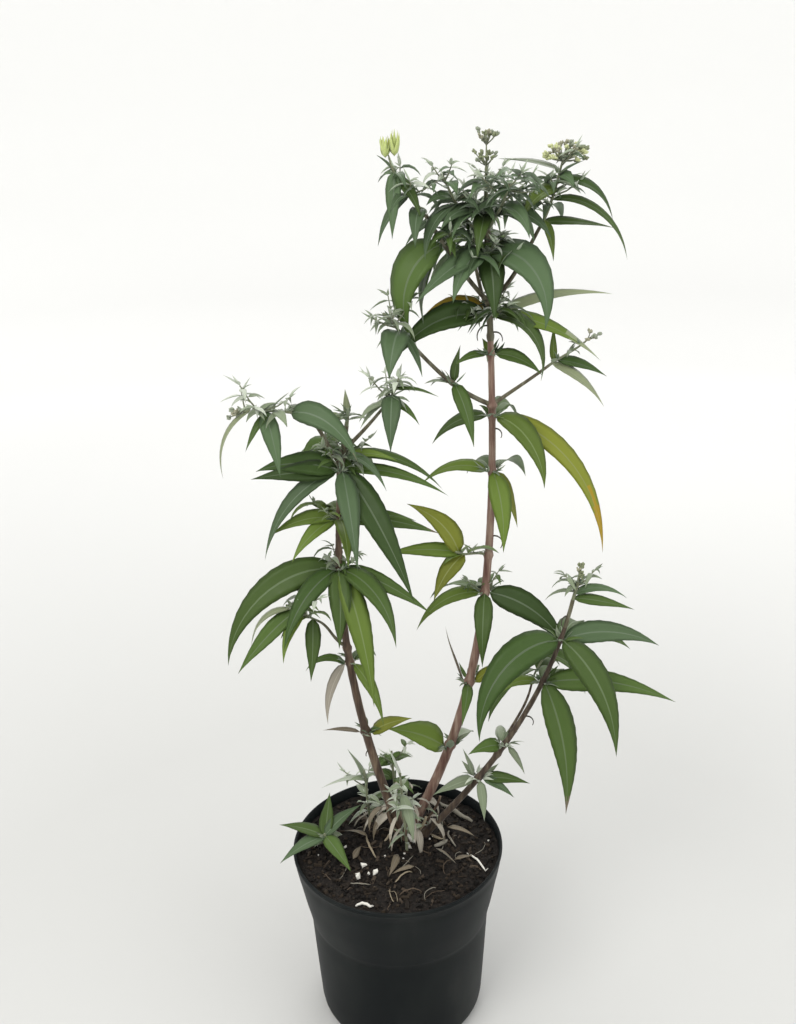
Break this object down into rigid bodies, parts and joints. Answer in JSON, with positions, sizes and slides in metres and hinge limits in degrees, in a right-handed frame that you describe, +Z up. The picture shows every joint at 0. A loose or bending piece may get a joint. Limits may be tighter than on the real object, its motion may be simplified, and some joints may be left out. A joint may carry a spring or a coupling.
{
  "type": "potted butterfly bush",
  "caption": "Young butterfly bush with lean stems, drooping lance-shaped leaves and spent flower heads, growing in a round black nursery pot.",
  "frame": {"origin": "middle of the pot's flat underside", "axes": "+Z up, -Y towards the front of the plant, +X to its right"},
  "size_m": [0.371, 0.2213, 0.7742],
  "materials": {
    "pot": "satin black, dusted with soil",
    "soil": "crumbly damp compost",
    "stem_bark": "matt young bark",
    "foliage": "soft, slightly waxy leaf",
    "young_foliage": "grey felted leaf"
  },
  "bodies": {
    "root": {"pot": "pot", "soil": "soil", "tall_stem": "stem_bark", "left_stem": "stem_bark", "right_stem": "stem_bark", "tall_left_bough": "stem_bark", "tall_right_bough": "stem_bark", "left_left_bough": "stem_bark", "left_right_bough": "stem_bark", "left_low_bough": "stem_bark", "left_back_bough": "stem_bark", "crown_left_bough": "stem_bark", "crown_right_bough": "stem_bark", "crown_back_bough": "stem_bark", "right_back_bough": "stem_bark", "tall_base_whorl": "foliage", "tall_low_whorl": "foliage", "tall_second_whorl": "foliage", "tall_mid_spray": "foliage", "tall_fourth_whorl": "foliage", "tall_fifth_whorl": "foliage", "tall_sixth_whorl": "foliage", "tall_left_whorl": "foliage", "crown_low_whorl": "foliage", "crown_mid_whorl": "foliage", "crown_left_whorl": "foliage", "crown_high_whorl": "foliage", "left_base_whorl": "foliage", "left_low_whorl": "foliage", "left_second_whorl": "foliage", "left_third_whorl": "foliage", "left_fourth_whorl": "foliage", "left_fifth_whorl": "foliage", "right_base_whorl": "young_foliage", "right_low_whorl": "foliage", "right_mid_whorl": "foliage", "right_upper_whorl": "foliage", "tall_left_spray": "young_foliage", "tall_right_spray": "foliage", "left_left_spray": "foliage", "left_right_spray": "young_foliage", "left_low_spray": "foliage", "left_back_spray": "foliage", "left_tip_spray": "foliage", "crown_left_spray": "foliage", "crown_right_spray": "foliage", "crown_back_spray": "foliage", "crown_centre_spray": "foliage", "crown_front_spray": "foliage", "crown_tip_spray": "foliage", "right_tip_spray": "foliage", "right_back_spray": "foliage", "star_shoot": "young_foliage", "back_left_shoot": "young_foliage", "front_shoot": "young_foliage", "back_shoot": "foliage"}
  },
  "joints": []
}
